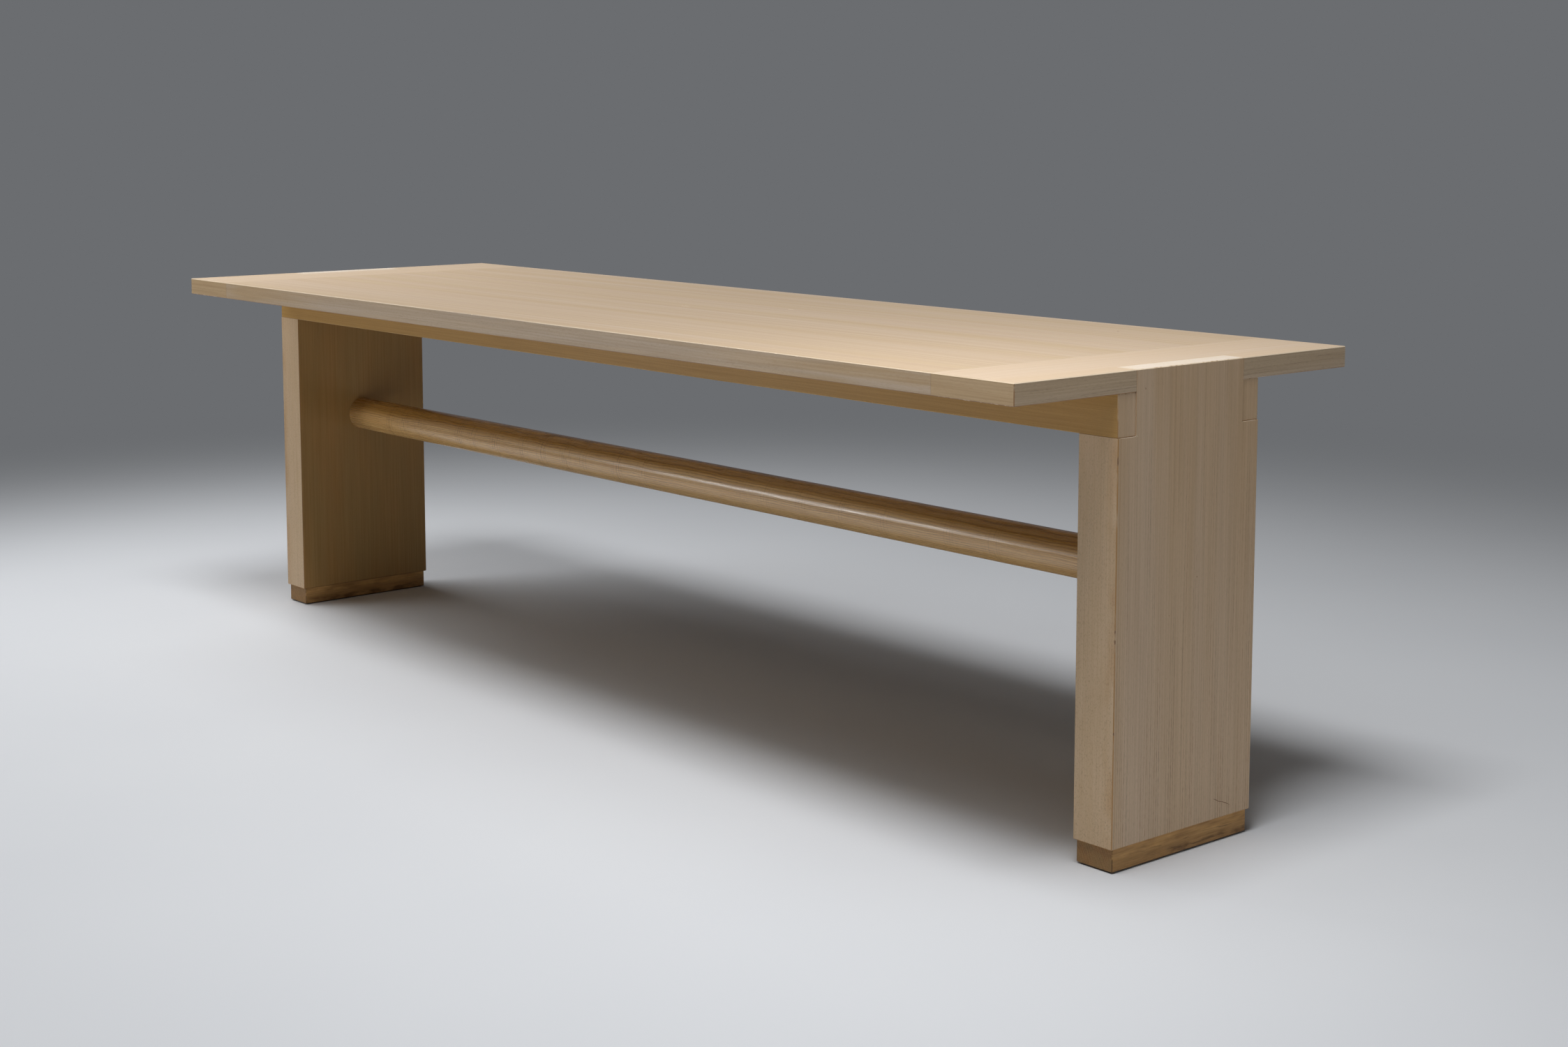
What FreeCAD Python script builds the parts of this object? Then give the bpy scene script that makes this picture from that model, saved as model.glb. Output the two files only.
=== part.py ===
import FreeCAD, Part
import os

Vector = FreeCAD.Vector

# Trestle dining table. Origin on the floor under the middle of the top, X along the length,
# Y across the width, Z up. All sizes are in millimetres.

# Overall size
table_length = 2468.0
table_width = 746.0
table_height = 740.0

# Top: a panel lipped along its long edges, with a cleat across each end
top_thickness = 33.0
top_lipping = 6.0
cleat_width = 163.0
tongue_thickness = 8.0
tongue_reach = 18.0
tongue_end_margin = 55.0

# Rails that run the whole length under the top and rest on the shoulders of the legs
rail_height = 64.0
rail_thickness = 38.0
rail_end_setback = 1.5

# Slab legs: two boards glued face to face, with a lipping on each narrow edge
leg_width = 317.0
leg_board = 38.0
leg_lipping = 6.0

# Foot blocks and the felt under them
foot_height = 35.0
foot_face_setback = 3.0
foot_end_setback = 5.0
pad_thickness = 2.0
pad_setback = 4.0

# Round stretcher with a blind wedged tenon at each end
stretcher_diameter = 70.0
stretcher_axis_height = 421.0
tenon_diameter = 45.0
tenon_reach = 50.0
tenon_end_ease = 2.0
wedge_length = 28.0
wedge_thickness = 4.0
wedge_tip = 1.0
wedge_edge_margin = 2.5

# Dowels between rail and leg, and between leg and cleat
dowel_diameter = 10.0
dowel_end_ease = 1.0
rail_dowel_reach = 28.0
cleat_dowel_reach = 20.0
leg_dowel_reach = 30.0
leg_dowel_spacing = 22.5

# Screws that hold the top down on the rails, sunk in counterbores from below
rail_screw_count = 5
rail_screw_end_margin = 140.0
rail_screw_grip = 20.0
rail_screw_shank = 5.0
rail_screw_head = 10.0
rail_screw_head_height = 3.5
counterbore_diameter = 13.0
counterbore_depth = 30.0

# Countersunk screws that hold each foot block to the leg boards
foot_screw_end_margin = 58.0
foot_screw_grip = 42.0
foot_screw_shank = 5.5
foot_screw_head = 11.0
foot_screw_head_height = 4.0
screw_tip = 6.0

# Clearances and finish of the joints
fit_clearance = 0.15
end_gap = 0.5
arris_ease = 1.2
overrun = 5.0
same_place = 0.001
full_turn = 360.0

# Places that follow from the sizes
half_length = table_length / 2
half_width = table_width / 2
top_underside = table_height - top_thickness
top_middle = table_height - top_thickness / 2
panel_half_length = half_length - cleat_width
panel_half_width = half_width - top_lipping
leg_half_width = leg_width / 2
neck_half_width = leg_half_width - rail_thickness
leg_thickness = 2 * leg_board
shoulder_height = top_underside - rail_height
rail_middle_height = shoulder_height + rail_height / 2
rail_middle_y = leg_half_width - rail_thickness / 2
leg_bottom = pad_thickness + foot_height
leg_inner_x = half_length - leg_thickness
board_joint_x = half_length - leg_board
outer_board_x = half_length - leg_board / 2
inner_board_x = leg_inner_x + leg_board / 2
tenon_end_x = leg_inner_x + tenon_reach
board_half_width = leg_half_width - leg_lipping
leg_dowel_y = neck_half_width - rail_dowel_reach - leg_dowel_spacing
foot_half_run = leg_half_width - foot_end_setback
foot_screw_y = foot_half_run - foot_screw_end_margin
dowel_radius = dowel_diameter / 2
tenon_radius = tenon_diameter / 2
wedge_height = tenon_diameter - 2 * wedge_edge_margin
leg_sides = {"left": -1, "right": 1}
long_sides = {"front": -1, "rear": 1}


def block(x_span, y_span, z_span):
    spans = [sorted(x_span), sorted(y_span), sorted(z_span)]
    sizes = [high - low for low, high in spans]
    return Part.makeBox(*sizes, Vector(*[low for low, high in spans]))


def turned(profile, foot, axis):
    # Solid of revolution: profile holds (radius, distance along the axis from the foot)
    points = [Vector(radius, 0, distance) for radius, distance in profile]
    face = Part.Face(Part.makePolygon(points + points[:1]))
    solid = face.revolve(Vector(0, 0, 0), Vector(0, 0, 1), full_turn)
    solid.Placement = FreeCAD.Placement(foot, FreeCAD.Rotation(Vector(0, 0, 1), axis))
    return solid


def hole(diameter, depth, mouth, axis):
    # Round hole of this depth from its mouth, with the cut run out past the mouth
    radius = diameter / 2 + fit_clearance
    start = mouth - axis * overrun
    return Part.makeCylinder(radius, depth + overrun, start, axis)


def eased(shape, *lines):
    # Chamfer the edges that lie in both planes of a line, such as {"y": 10, "z": 20}
    edges = []
    for edge in shape.Edges:
        box = edge.BoundBox
        spans = {"x": (box.XMin, box.XMax), "y": (box.YMin, box.YMax), "z": (box.ZMin, box.ZMax)}
        for line in lines:
            if all(abs(end - line[axis]) < same_place for axis in line for end in spans[axis]):
                edges.append(edge)
                break
    return shape.makeChamfer(arris_ease, edges)


def dowel(foot, axis, length):
    profile = [
        (0, 0),
        (dowel_radius - dowel_end_ease, 0),
        (dowel_radius, dowel_end_ease),
        (dowel_radius, length - dowel_end_ease),
        (dowel_radius - dowel_end_ease, length),
        (0, length),
    ]
    return turned(profile, foot, axis)


def rail_screw_places():
    reach = panel_half_length - rail_screw_end_margin
    pitch = 2 * reach / (rail_screw_count - 1)
    return [-reach + index * pitch for index in range(rail_screw_count)]


def foot_screw_places(side):
    boards = [side * outer_board_x, side * inner_board_x]
    return [(x, y) for x in boards for y in (-foot_screw_y, foot_screw_y)]


def rail_dowel_places(side):
    return [side * outer_board_x, side * inner_board_x]


def cleat_dowel_places(side):
    return [(side * inner_board_x, -leg_dowel_y), (side * inner_board_x, leg_dowel_y)]


def top_panel():
    panel = block(
        (-panel_half_length, panel_half_length),
        (-panel_half_width, panel_half_width),
        (top_underside, table_height),
    )
    cuts = [tongue_groove(side) for side in leg_sides.values()]
    for along in rail_screw_places():
        for across in long_sides.values():
            mouth = Vector(along, across * rail_middle_y, top_underside)
            cuts.append(hole(rail_screw_shank, rail_screw_grip + end_gap, mouth, Vector(0, 0, 1)))
    return panel.cut(cuts)


def tongue(side, spare=0):
    # Loose tongue across the joint of panel and cleat; spare turns it into the groove for it
    joint = side * panel_half_length
    reach = tongue_reach + spare
    half_run = half_width - tongue_end_margin + spare
    half_thick = tongue_thickness / 2 + spare
    return block(
        (joint - reach, joint + reach),
        (-half_run, half_run),
        (top_middle - half_thick, top_middle + half_thick),
    )


def tongue_groove(side):
    return tongue(side, fit_clearance)


def top_lipping_strip(across):
    outer = across * half_width
    strip = block(
        (-panel_half_length, panel_half_length),
        (across * panel_half_width, outer),
        (top_underside, table_height),
    )
    return eased(strip, {"y": outer, "z": table_height}, {"y": outer, "z": top_underside})


def end_cleat(side):
    outer = side * half_length
    cleat = block(
        (side * panel_half_length, outer),
        (-half_width, half_width),
        (top_underside, table_height),
    )
    lines = []
    for across in long_sides.values():
        lines.append({"x": outer, "y": across * half_width})
        for level in (top_underside, table_height):
            lines.append({"y": across * half_width, "z": level})
    for level in (top_underside, table_height):
        lines.append({"x": outer, "z": level})
    cleat = eased(cleat, *lines)
    notch_half = neck_half_width + fit_clearance
    notch = block(
        (side * (board_joint_x - fit_clearance), side * (half_length + overrun)),
        (-notch_half, notch_half),
        (top_underside - overrun, table_height + overrun),
    )
    cuts = [notch, tongue_groove(side)]
    for along, across in cleat_dowel_places(side):
        mouth = Vector(along, across, top_underside)
        cuts.append(hole(dowel_diameter, cleat_dowel_reach + end_gap, mouth, Vector(0, 0, 1)))
    return cleat.cut(cuts)


def rail(across):
    outer = across * leg_half_width
    inner = across * neck_half_width
    end = half_length - rail_end_setback
    beam = block((-end, end), (outer, inner), (shoulder_height, top_underside))
    lines = [{"x": side * end, "y": outer} for side in leg_sides.values()]
    for level in (shoulder_height, top_underside):
        lines += [{"y": face, "z": level} for face in (outer, inner)]
        lines += [{"x": side * end, "z": level} for side in leg_sides.values()]
    beam = eased(beam, *lines)
    up = Vector(0, 0, 1)
    cuts = []
    for along in rail_screw_places():
        mouth = Vector(along, across * rail_middle_y, shoulder_height)
        cuts.append(hole(counterbore_diameter, counterbore_depth, mouth, up))
        cuts.append(hole(rail_screw_shank, rail_height + overrun, mouth, up))
    for side in leg_sides.values():
        for along in rail_dowel_places(side):
            mouth = Vector(along, inner, rail_middle_height)
            cuts.append(hole(dowel_diameter, rail_dowel_reach + end_gap, mouth, Vector(0, across, 0)))
    return beam.cut(cuts)


def rail_screw(along, across):
    seat = shoulder_height + counterbore_depth
    head_radius = rail_screw_head / 2
    shank_radius = rail_screw_shank / 2
    length = rail_screw_head_height + top_underside - seat + rail_screw_grip
    profile = [
        (0, 0),
        (head_radius, 0),
        (head_radius, rail_screw_head_height),
        (shank_radius, rail_screw_head_height),
        (shank_radius, length - screw_tip),
        (0, length),
    ]
    foot = Vector(along, across * rail_middle_y, seat - rail_screw_head_height)
    return turned(profile, foot, Vector(0, 0, 1))


def rail_screws(across):
    return Part.makeCompound([rail_screw(along, across) for along in rail_screw_places()])


def rail_dowels(side):
    # One dowel through each leg board into each rail
    length = 2 * rail_dowel_reach
    pegs = []
    for across in long_sides.values():
        for along in rail_dowel_places(side):
            foot = Vector(along, across * (neck_half_width - rail_dowel_reach), rail_middle_height)
            pegs.append(dowel(foot, Vector(0, across, 0), length))
    return Part.makeCompound(pegs)


def leg_dowels(side):
    # Upright dowels from the inner board of the leg into the cleat
    length = leg_dowel_reach + cleat_dowel_reach
    pegs = []
    for along, across in cleat_dowel_places(side):
        foot = Vector(along, across, top_underside - leg_dowel_reach)
        pegs.append(dowel(foot, Vector(0, 0, 1), length))
    return Part.makeCompound(pegs)


def leg_board_blank(side, near, far, top, along):
    # Board with shoulders for the rails: near and far are its faces, along its middle plane
    x_span = (side * near, side * far)
    body = block(x_span, (-board_half_width, board_half_width), (leg_bottom, shoulder_height))
    neck = block(x_span, (-neck_half_width, neck_half_width), (shoulder_height, top))
    board = body.fuse(neck).removeSplitter()
    cuts = []
    for across in long_sides.values():
        mouth = Vector(side * along, across * neck_half_width, rail_middle_height)
        cuts.append(hole(dowel_diameter, rail_dowel_reach + end_gap, mouth, Vector(0, -across, 0)))
        mouth = Vector(side * along, across * foot_screw_y, leg_bottom)
        cuts.append(hole(foot_screw_shank, foot_screw_grip + end_gap, mouth, Vector(0, 0, 1)))
    mouth = Vector(side * leg_inner_x, 0, stretcher_axis_height)
    cuts.append(hole(tenon_diameter, tenon_reach + end_gap, mouth, Vector(side, 0, 0)))
    return board, cuts


def leg_outer_board(side):
    # This board runs up through the notch of the cleat and ends flush with the top
    board, cuts = leg_board_blank(side, board_joint_x, half_length, table_height, outer_board_x)
    outer = side * half_length
    board = eased(board, {"x": outer, "z": table_height}, {"x": outer, "z": leg_bottom})
    return board.cut(cuts)


def leg_inner_board(side):
    # This board stops under the cleat and takes the upright dowels
    board, cuts = leg_board_blank(side, leg_inner_x, board_joint_x, top_underside, inner_board_x)
    board = eased(board, {"x": side * leg_inner_x, "z": leg_bottom})
    for along, across in cleat_dowel_places(side):
        mouth = Vector(along, across, top_underside)
        cuts.append(hole(dowel_diameter, leg_dowel_reach + end_gap, mouth, Vector(0, 0, -1)))
    return board.cut(cuts)


def leg_lipping_strip(side, across):
    inner = side * leg_inner_x
    outer = side * half_length
    face = across * leg_half_width
    strip = block((inner, outer), (across * board_half_width, face), (leg_bottom, shoulder_height))
    lines = [{"x": inner, "y": face}, {"x": outer, "y": face}, {"y": face, "z": leg_bottom}]
    lines += [{"x": inner, "z": leg_bottom}, {"x": outer, "z": leg_bottom}]
    return eased(strip, *lines)


def foot(side):
    faces = [side * (leg_inner_x + foot_face_setback), side * (half_length - foot_face_setback)]
    ends = [across * foot_half_run for across in long_sides.values()]
    base = block(faces, ends, (pad_thickness, leg_bottom))
    lines = [{"x": face, "y": end} for face in faces for end in ends]
    lines += [{"x": face, "z": pad_thickness} for face in faces]
    lines += [{"y": end, "z": pad_thickness} for end in ends]
    base = eased(base, *lines)
    head_radius = foot_screw_head / 2 + fit_clearance
    shank_radius = foot_screw_shank / 2 + fit_clearance
    profile = [
        (0, -overrun),
        (head_radius, -overrun),
        (head_radius, 0),
        (shank_radius, foot_screw_head_height),
        (shank_radius, foot_height + overrun),
        (0, foot_height + overrun),
    ]
    cuts = []
    for along, across in foot_screw_places(side):
        cuts.append(turned(profile, Vector(along, across, pad_thickness), Vector(0, 0, 1)))
    return base.cut(cuts)


def foot_screws(side):
    length = foot_height + foot_screw_grip
    profile = [
        (0, 0),
        (foot_screw_head / 2, 0),
        (foot_screw_shank / 2, foot_screw_head_height),
        (foot_screw_shank / 2, length - screw_tip),
        (0, length),
    ]
    screws = []
    for along, across in foot_screw_places(side):
        screws.append(turned(profile, Vector(along, across, pad_thickness), Vector(0, 0, 1)))
    return Part.makeCompound(screws)


def foot_pad(side):
    face_inset = foot_face_setback + pad_setback
    half_run = foot_half_run - pad_setback
    return block(
        (side * (leg_inner_x + face_inset), side * (half_length - face_inset)),
        (-half_run, half_run),
        (0, pad_thickness),
    )


def tenon_wedge(side, height):
    # Wedge driven into the end of the tenon as the joint closes; a taller one cuts its kerf
    end = side * tenon_end_x
    tip = side * (tenon_end_x - wedge_length)
    low = stretcher_axis_height - height / 2
    corners = [
        Vector(end, -wedge_thickness / 2, low),
        Vector(end, wedge_thickness / 2, low),
        Vector(tip, wedge_tip / 2, low),
        Vector(tip, -wedge_tip / 2, low),
    ]
    face = Part.Face(Part.makePolygon(corners + corners[:1]))
    return face.extrude(Vector(0, 0, height))


def stretcher():
    radius = stretcher_diameter / 2
    half_profile = [
        (tenon_radius - tenon_end_ease, tenon_end_x),
        (tenon_radius, tenon_end_x - tenon_end_ease),
        (tenon_radius, leg_inner_x),
        (radius, leg_inner_x),
    ]
    far_half = [(reach, -along) for reach, along in reversed(half_profile)]
    profile = [(0, tenon_end_x)] + half_profile + far_half + [(0, -tenon_end_x)]
    pole = turned(profile, Vector(0, 0, stretcher_axis_height), Vector(1, 0, 0))
    kerf_height = tenon_diameter + overrun
    return pole.cut([tenon_wedge(side, kerf_height) for side in leg_sides.values()])


parts = {"top_panel": top_panel(), "stretcher": stretcher()}
for name, across in long_sides.items():
    parts["top_" + name + "_lipping"] = top_lipping_strip(across)
    parts[name + "_rail"] = rail(across)
    parts[name + "_rail_screws"] = rail_screws(across)
for name, side in leg_sides.items():
    parts[name + "_end_cleat"] = end_cleat(side)
    parts[name + "_cleat_tongue"] = tongue(side)
    parts[name + "_leg_outer_board"] = leg_outer_board(side)
    parts[name + "_leg_inner_board"] = leg_inner_board(side)
    for edge_name, across in long_sides.items():
        parts[name + "_leg_" + edge_name + "_lipping"] = leg_lipping_strip(side, across)
    parts[name + "_rail_dowels"] = rail_dowels(side)
    parts[name + "_leg_dowels"] = leg_dowels(side)
    parts[name + "_tenon_wedge"] = tenon_wedge(side, wedge_height)
    parts[name + "_foot"] = foot(side)
    parts[name + "_foot_screws"] = foot_screws(side)
    parts[name + "_foot_pad"] = foot_pad(side)

os.makedirs("parts", exist_ok=True)
for name, shape in parts.items():
    shape.exportStep("parts/" + name + ".step")
    print(name, shape.ShapeType, len(shape.Solids), "solids", "valid" if shape.isValid() else "NOT VALID")
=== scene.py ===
import bpy
import bmesh
import math
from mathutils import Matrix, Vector, noise


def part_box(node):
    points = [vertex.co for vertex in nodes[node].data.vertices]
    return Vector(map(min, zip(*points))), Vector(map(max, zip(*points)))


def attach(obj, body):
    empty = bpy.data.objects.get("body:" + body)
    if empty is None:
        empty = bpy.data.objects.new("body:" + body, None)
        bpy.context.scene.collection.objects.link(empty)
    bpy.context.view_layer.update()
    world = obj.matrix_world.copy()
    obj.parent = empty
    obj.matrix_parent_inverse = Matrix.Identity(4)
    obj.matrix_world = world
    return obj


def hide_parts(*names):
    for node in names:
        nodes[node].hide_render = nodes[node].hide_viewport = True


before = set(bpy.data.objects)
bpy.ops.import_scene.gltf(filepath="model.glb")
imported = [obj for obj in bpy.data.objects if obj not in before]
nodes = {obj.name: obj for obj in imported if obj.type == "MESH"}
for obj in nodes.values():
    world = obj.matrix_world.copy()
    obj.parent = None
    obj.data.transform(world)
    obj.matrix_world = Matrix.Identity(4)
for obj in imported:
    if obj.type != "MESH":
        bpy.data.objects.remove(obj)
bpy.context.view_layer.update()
mm = 0.001
weld = 0.001 * mm
legSides = {"left": -1, "right": 1}
longSides = {"front": -1, "rear": 1}
calc, remap, mix = "ShaderNodeMath", "ShaderNodeMapRange", "ShaderNodeMix"
print("frame loaded:", len(nodes), "nodes")


def linear(code):
    parts = [int(code[i:i + 2], 16) / 255 for i in (1, 3, 5)]  # sRGB hex to linear
    bent = [c / 12.92 if c <= 0.04045 else ((c + 0.055) / 1.055) ** 2.4 for c in parts]
    return (*bent, 1.0)


def addNode(tree, kind, feeds=None, **settings):
    made = tree.nodes.new(kind)
    for key, value in settings.items():
        setattr(made, key, value)
    for key, value in (feeds or {}).items():
        if isinstance(value, bpy.types.Node):  # a node stands for its first output
            value = value.outputs[0]
        if isinstance(value, bpy.types.NodeSocket):
            tree.links.new(value, made.inputs[key])
        else:
            made.inputs[key].default_value = value
    return made


def startFinish(name, fixed):
    finish = bpy.data.materials.new(name)
    finish.use_nodes = True
    tree = finish.node_tree
    shader = tree.nodes["Principled BSDF"]
    for key, value in fixed.items():
        shader.inputs[key].default_value = value
    return finish, tree, shader


def between(span, scale=1):
    low, high = span
    return {"From Min": low * scale, "From Max": high * scale}


noiseSpans = {  # the stretch of each noise that is used, from none to all
    "pores": (0.42, 0.6), "bold": (0.38, 0.66), "loose": (0.54, 0.72), "fibre": (0.3, 0.7),
    "bands": (0.32, 0.68), "patch": (0.4, 0.6), "ink": (0.4, 0.6), "arcs": (0.41, 0.5),
    "wear": (0.28, 0.46),
}


# Wood, in one pattern for every board: long growth lines broken into pores, fine fibre,
# wide tinted bands and a rubbed arris, brown where it stands upright and pale where it faces up:
# wear, and a painted highlight on the pale ones. Sizes are in mm, across and along the grain.
def woodFinish(name, look):
    fixed = {"IOR": look["ior"], "Specular IOR Level": look["shine"]}
    finish, tree, shader = startFinish(name, fixed)
    place = addNode(tree, "ShaderNodeTexCoord")
    split = addNode(tree, "ShaderNodeSeparateXYZ", {0: place.outputs["Object"]})
    order = {"X": "YZX", "Y": "XZY", "Z": "XYZ"}[look["grain"]]
    turned = {i: split.outputs[axis] for i, axis in enumerate(order)}
    inGrain = addNode(tree, "ShaderNodeCombineXYZ", turned)

    layer = {}
    for key, (across, along, detail) in look["layers"].items():
        size = (1 / (across * mm), 1 / (across * mm), 1 / (along * mm))
        sized = addNode(tree, "ShaderNodeVectorMath", {0: inGrain, 1: size}, operation="MULTIPLY")
        feeds = {"Vector": sized, "Scale": 1.0, "Detail": detail}
        layer[key] = addNode(tree, "ShaderNodeTexNoise", feeds)

    turn = math.radians(look["turn"])
    way = (math.cos(turn), math.sin(turn), 0)
    flat = addNode(tree, "ShaderNodeVectorMath", {0: inGrain, 1: way}, operation="DOT_PRODUCT")
    feeds = {0: layer["drift"], 1: look["drift"] * mm, 2: flat.outputs["Value"]}
    wander = addNode(tree, calc, feeds, operation="MULTIPLY_ADD")
    counted = addNode(tree, calc, {0: wander, 1: look["spacing"] * mm}, operation="DIVIDE")
    rings = addNode(
        tree,
        "ShaderNodeTexVoronoi",
        {"W": counted, "Scale": 1.0, "Randomness": look["uneven"]},
        voronoi_dimensions="1D",
        feature="DISTANCE_TO_EDGE",
    )
    width = look["lineWidth"] / look["spacing"]
    feeds = {"Value": rings.outputs["Distance"], "From Max": width, "To Max": 0.0}
    feeds["To Min"] = look["lines"]
    line = addNode(tree, remap, feeds, interpolation_type="SMOOTHSTEP")
    feeds = {"Value": layer["pores"], **between(noiseSpans["pores"]), "To Min": look["poreFloor"]}
    pores = addNode(tree, remap, feeds)
    feeds = {"Value": layer["bold"], **between(noiseSpans["bold"]), "To Min": look["boldFloor"]}
    bold = addNode(tree, remap, feeds)
    feeds = {"Value": layer["loose"], **between(noiseSpans["loose"]), "To Max": look["loosePores"]}
    loose = addNode(tree, remap, feeds)
    dashed = addNode(tree, calc, {0: line, 1: pores}, operation="MULTIPLY")
    figure = addNode(tree, calc, {0: dashed, 1: bold}, operation="MULTIPLY")
    figure = addNode(tree, calc, {0: figure, 1: loose}, operation="MAXIMUM")
    if "fade" in look:  # lines grow or fade along one axis
        axis, start, end, atStart, atEnd = look["fade"]
        feeds = {"Value": split.outputs[axis], **between((start, end), mm)}
        faded = addNode(tree, remap, {**feeds, "To Min": atStart, "To Max": atEnd})
        figure = addNode(tree, calc, {0: figure, 1: faded}, operation="MULTIPLY")

    fibre = addNode(tree, remap, {"Value": layer["fibre"], **between(noiseSpans["fibre"])})
    feeds = {0: fibre, 6: linear(look["pale"]), 7: linear(look["deep"])}
    body = addNode(tree, mix, feeds, data_type="RGBA")
    swing = addNode(tree, remap, {"Value": layer["bands"], **between(noiseSpans["bands"])})
    feeds = {0: swing, 6: linear(look["cool"]), 7: linear(look["warm"])}
    cast = addNode(tree, mix, feeds, data_type="RGBA")
    feeds = {0: 1.0, 6: body.outputs[2], 7: cast.outputs[2]}
    body = addNode(tree, mix, feeds, data_type="RGBA", blend_type="MULTIPLY")
    if "tint" in look:  # tinted towards one end of an axis, or both, in patches: a colour of the wood in some looks, painted shade in others
        axis, start, end, code, amount = look["tint"]
        apart = addNode(tree, calc, {0: split.outputs[axis]}, operation="ABSOLUTE")
        feeds = {"Value": apart, **between((start, end), mm), "To Max": amount}
        near = addNode(tree, remap, feeds, interpolation_type="SMOOTHSTEP")
        patch = addNode(tree, remap, {"Value": layer["bands"], **between(noiseSpans["patch"])})
        tintedAndShaded = addNode(tree, calc, {0: near, 1: patch}, operation="MULTIPLY")
        feeds = {0: tintedAndShaded, 6: body.outputs[2], 7: linear(code)}
        body = addNode(tree, mix, feeds, data_type="RGBA", blend_type="MULTIPLY")
    feeds = {"Value": layer["bold"].outputs[1], **between(noiseSpans["ink"])}
    inkSwing = addNode(tree, remap, feeds)
    feeds = {0: inkSwing, 6: linear(look["line"]), 7: linear(look["warmLine"])}
    ink = addNode(tree, mix, feeds, data_type="RGBA")
    feeds = {0: figure, 6: body.outputs[2], 7: ink.outputs[2]}
    lined = addNode(tree, mix, feeds, data_type="RGBA")
    if "scores" in look:  # rings scored round the bar, in clusters
        scores = look["scores"]
        half, reach = scores["half"], scores["reach"]
        feeds = {"Value": split.outputs["X"], **between((-half, half), mm)}
        along = addNode(tree, remap, feeds)
        cluster = addNode(tree, "ShaderNodeFloatCurve", {"Value": along})
        curve = cluster.mapping.curves[0]
        curve.points[1].location.y = 0
        for spot, strength in scores["spots"].items():
            for shift, rise in ((-reach, 0), (0, strength), (reach, 0)):
                point = curve.points.new(0.5 + (spot + shift) / (2 * half), rise)
                point.handle_type = "VECTOR"
        cluster.mapping.update()
        feeds = {0: split.outputs["X"], 1: scores["spacing"] * mm}
        counted = addNode(tree, calc, feeds, operation="DIVIDE")
        cuts = addNode(
            tree,
            "ShaderNodeTexVoronoi",
            {"W": counted, "Scale": 1.0, "Randomness": 1.0},
            voronoi_dimensions="1D",
            feature="DISTANCE_TO_EDGE",
        )
        feeds = {"Value": cuts.outputs["Distance"], "From Max": scores["width"] / scores["spacing"]}
        cut = addNode(tree, remap, {**feeds, "To Min": scores["amount"], "To Max": 0.0})
        arc = addNode(tree, remap, {"Value": layer["arcs"], **between(noiseSpans["arcs"])})
        cut = addNode(tree, calc, {0: cut, 1: arc}, operation="MULTIPLY")
        cut = addNode(tree, calc, {0: cut, 1: cluster}, operation="MULTIPLY")
        feeds = {0: cut, 6: lined.outputs[2], 7: linear(look["line"])}
        lined = addNode(tree, mix, feeds, data_type="RGBA")
    arris = addNode(tree, "ShaderNodeAttribute", attribute_name="arris")
    onArris = addNode(tree, calc, {0: arris.outputs["Fac"]}, operation="ABSOLUTE")
    feeds = {"Value": layer["wear"], **between(noiseSpans["wear"]), "To Max": look["wear"]}
    rubbed = addNode(tree, remap, feeds)
    worn = addNode(tree, calc, {0: onArris, 1: rubbed}, operation="MULTIPLY")
    upright = addNode(tree, remap, {"Value": arris.outputs["Fac"], "From Min": -1.0})
    # Arrises that face up take the pale colour, a painted highlight as well as wear; upright ones
    # take the brown of wear
    levelHighlightCode, uprightCode = look["arris"]
    feeds = {0: upright, 6: linear(levelHighlightCode), 7: linear(uprightCode)}
    wearAndHighlightColour = addNode(tree, mix, feeds, data_type="RGBA")
    feeds = {0: worn, 6: lined.outputs[2], 7: wearAndHighlightColour.outputs[2]}
    colour = addNode(tree, mix, feeds, data_type="RGBA")
    tree.links.new(colour.outputs[2], shader.inputs["Base Color"])

    smooth, dull = look["gloss"]
    rough = addNode(tree, remap, {"Value": fibre, "To Min": smooth, "To Max": dull})
    tree.links.new(rough.outputs[0], shader.inputs["Roughness"])
    feeds = {0: figure, 1: -look["groove"], 2: fibre}
    height = addNode(tree, calc, feeds, operation="MULTIPLY_ADD")
    feeds = {"Height": height, "Distance": look["relief"] * mm, "Strength": look["bump"]}
    bump = addNode(tree, "ShaderNodeBump", feeds)
    tree.links.new(bump.outputs[0], shader.inputs["Normal"])
    return finish


ashLayers = {  # mm across the grain, mm along it, detail
    "drift": (70, 900, 1.0),
    "pores": (1.1, 6, 1.0),  # real pores are 0.3 mm wide, drawn coarser to show
    "loose": (1.0, 8, 1.0),
    "bold": (13, 320, 1.0),
    "fibre": (2.6, 200, 3.0),
    "bands": (34, 1600, 1.0),
    "wear": (8, 240, 2.0),
}
bleachedAsh = {
    "grain": "X", "turn": 0, "layers": ashLayers, "drift": 12, "spacing": 7, "uneven": 1.0,
    "lineWidth": 0.9, "lines": 0.12, "poreFloor": 0.2, "boldFloor": 0.05, "loosePores": 0.08,
    "wear": 0.75, "relief": 0.05, "groove": 1.5, "bump": 0.6, "ior": 1.5, "shine": 0.35,
    "gloss": (0.42, 0.54),
    "pale": "#d3bea2", "deep": "#ceb89c", "cool": "#fcf9f6", "warm": "#faf5ec",
    "line": "#8f7558", "warmLine": "#a9835a", "arris": ("#e6d5bb", "#8a5f34"),
}
# Ash, bleached and satin lacquered: pale straw body, broad faint streaks, soft sheen
ashTop = woodFinish("bleachedAshTop", {
    **bleachedAsh,
    "spacing": 12, "lineWidth": 2.2, "lines": 0.31, "poreFloor": 0.45, "boldFloor": 0.0,
    "layers": {
        **ashLayers, "bands": (44, 2400, 1.0), "fibre": (11, 900, 2.0), "bold": (30, 500, 1.0),
    },
    "cool": "#faf7f2", "warm": "#f6f1e2", "pale": "#dbc7b1", "deep": "#d1bba4",
})
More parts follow.
